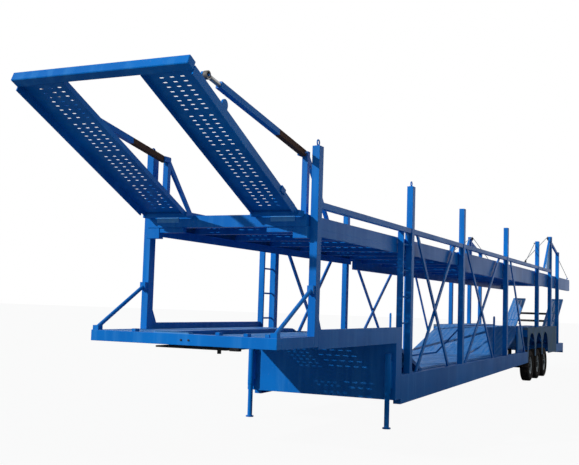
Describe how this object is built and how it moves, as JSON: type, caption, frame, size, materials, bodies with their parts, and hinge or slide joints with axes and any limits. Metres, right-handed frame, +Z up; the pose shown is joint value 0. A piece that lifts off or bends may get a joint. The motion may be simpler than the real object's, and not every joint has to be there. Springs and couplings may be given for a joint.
{
  "type": "car transporter semi-trailer",
  "caption": "Two-deck open-frame semi-trailer for cars, with stepped lower deck over the axles, tilting rear upper deck, raised head ramp on telescopic props and folding tail ramp.",
  "frame": {"origin": "on the ground, midway along the whole length with both ramps as stored, on the centre line", "axes": "+X to the rear of the trailer, +Y to its left side as seen by a driver facing the front at -X, +Z up"},
  "size_m": [25.4775, 2.5, 4.1522],
  "materials": {
    "frame_blue": "satin",
    "tread_blue": "satin",
    "chassis_dark": "matt",
    "bare_steel": "greased",
    "rim_paint": "satin",
    "tyre_rubber": "matt",
    "lamp_red": "gloss"
  },
  "bodies": {
    "root": {"gooseneck_frame": "frame_blue", "gooseneck_tracks": "tread_blue", "kingpin_plate": "bare_steel", "step_wall": "frame_blue", "landing_legs": "frame_blue", "low_beams": "frame_blue", "low_cross_beams": "frame_blue", "lower_tracks": "tread_blue", "chassis_rails": "frame_blue", "chassis_cross_beams": "frame_blue", "axles": "chassis_dark", "leaf_springs": "chassis_dark", "spring_hangers": "chassis_dark", "mudguards": "frame_blue", "rear_frame": "frame_blue", "tail_lamps": "lamp_red", "posts_left": "frame_blue", "posts_right": "frame_blue", "mast_left": "frame_blue", "mast_right": "frame_blue", "guard_rails": "frame_blue", "ladders": "frame_blue", "braces_left": "frame_blue", "braces_right": "frame_blue", "nose_braces": "frame_blue", "upper_frame": "frame_blue", "upper_tracks": "tread_blue", "deck_brackets": "frame_blue", "head_masts": "frame_blue", "control_box": "frame_blue"},
    "wheel_1_left": {"tyre_1_left": "tyre_rubber", "rim_1_left": "rim_paint"},
    "wheel_1_right": {"tyre_1_right": "tyre_rubber", "rim_1_right": "rim_paint"},
    "wheel_2_left": {"tyre_2_left": "tyre_rubber", "rim_2_left": "rim_paint"},
    "wheel_2_right": {"tyre_2_right": "tyre_rubber", "rim_2_right": "rim_paint"},
    "wheel_3_left": {"tyre_3_left": "tyre_rubber", "rim_3_left": "rim_paint"},
    "wheel_3_right": {"tyre_3_right": "tyre_rubber", "rim_3_right": "rim_paint"},
    "head_ramp": {"head_ramp": "frame_blue"},
    "prop_tube_left": {"prop_tube_left": "frame_blue"},
    "prop_rod_left": {"prop_rod_left": "frame_blue"},
    "prop_tube_right": {"prop_tube_right": "frame_blue"},
    "prop_rod_right": {"prop_rod_right": "frame_blue"},
    "rear_deck": {"rear_deck_frame": "frame_blue", "rear_deck_tracks": "tread_blue"},
    "tail_ramp": {"tail_ramp": "frame_blue"}
  },
  "joints": [
    {"name": "wheel_1_left_turn", "type": "hinge", "parent": "root", "child": "wheel_1_left", "pos_m": [4.55267, 1.115, 0.4], "axis": [0, 1, 0], "continuous": true},
    {"name": "wheel_1_right_turn", "type": "hinge", "parent": "root", "child": "wheel_1_right", "pos_m": [4.55267, -1.115, 0.4], "axis": [0, 1, 0], "continuous": true},
    {"name": "wheel_2_left_turn", "type": "hinge", "parent": "root", "child": "wheel_2_left", "pos_m": [5.61268, 1.115, 0.4], "axis": [0, 1, 0], "continuous": true},
    {"name": "wheel_2_right_turn", "type": "hinge", "parent": "root", "child": "wheel_2_right", "pos_m": [5.61268, -1.115, 0.4], "axis": [0, 1, 0], "continuous": true},
    {"name": "wheel_3_left_turn", "type": "hinge", "parent": "root", "child": "wheel_3_left", "pos_m": [6.67267, 1.115, 0.4], "axis": [0, 1, 0], "continuous": true},
    {"name": "wheel_3_right_turn", "type": "hinge", "parent": "root", "child": "wheel_3_right", "pos_m": [6.67267, -1.115, 0.4], "axis": [0, 1, 0], "continuous": true},
    {"name": "head_ramp_tilt", "type": "hinge", "parent": "root", "child": "head_ramp", "pos_m": [-10.12733, 0, 2.9], "axis": [0, -1, 0], "range_deg": [0, 24.5]},
    {"name": "prop_tube_left_turn", "type": "hinge", "parent": "root", "child": "prop_tube_left", "pos_m": [-9.89433, 1.015, 3.67], "axis": [0, -1, 0], "range_deg": [0, 22.09]},
    {"name": "prop_rod_left_slide", "type": "slide", "parent": "prop_tube_left", "child": "prop_rod_left", "axis": [-0.9867, 0, 0.1624], "range_m": [0, 0.324]},
    {"name": "prop_tube_right_turn", "type": "hinge", "parent": "root", "child": "prop_tube_right", "pos_m": [-9.89433, -1.015, 3.67], "axis": [0, -1, 0], "range_deg": [0, 22.09]},
    {"name": "prop_rod_right_slide", "type": "slide", "parent": "prop_tube_right", "child": "prop_rod_right", "axis": [-0.9867, 0, 0.1624], "range_m": [0, 0.324]},
    {"name": "rear_deck_tilt", "type": "hinge", "parent": "root", "child": "rear_deck", "pos_m": [-2.50732, 0, 2.77], "axis": [0, 1, 0], "range_deg": [0, 6]},
    {"name": "tail_ramp_fold", "type": "hinge", "parent": "root", "child": "tail_ramp", "pos_m": [10.05767, 0, 0.78], "axis": [0, 1, 0], "range_deg": [0, 43.1]}
  ],
  "couplings": [
    {"joint": "prop_tube_left_turn", "follows": "head_ramp_tilt", "ratio": 0.90084},
    {"joint": "prop_rod_left_slide", "follows": "head_ramp_tilt", "m_per_rad": 0.75718},
    {"joint": "prop_tube_right_turn", "follows": "head_ramp_tilt", "ratio": 0.90084},
    {"joint": "prop_rod_right_slide", "follows": "head_ramp_tilt", "m_per_rad": 0.75718},
    {"joint": "tail_ramp_fold", "follows": "rear_deck_tilt", "ratio": 7.18}
  ]
}
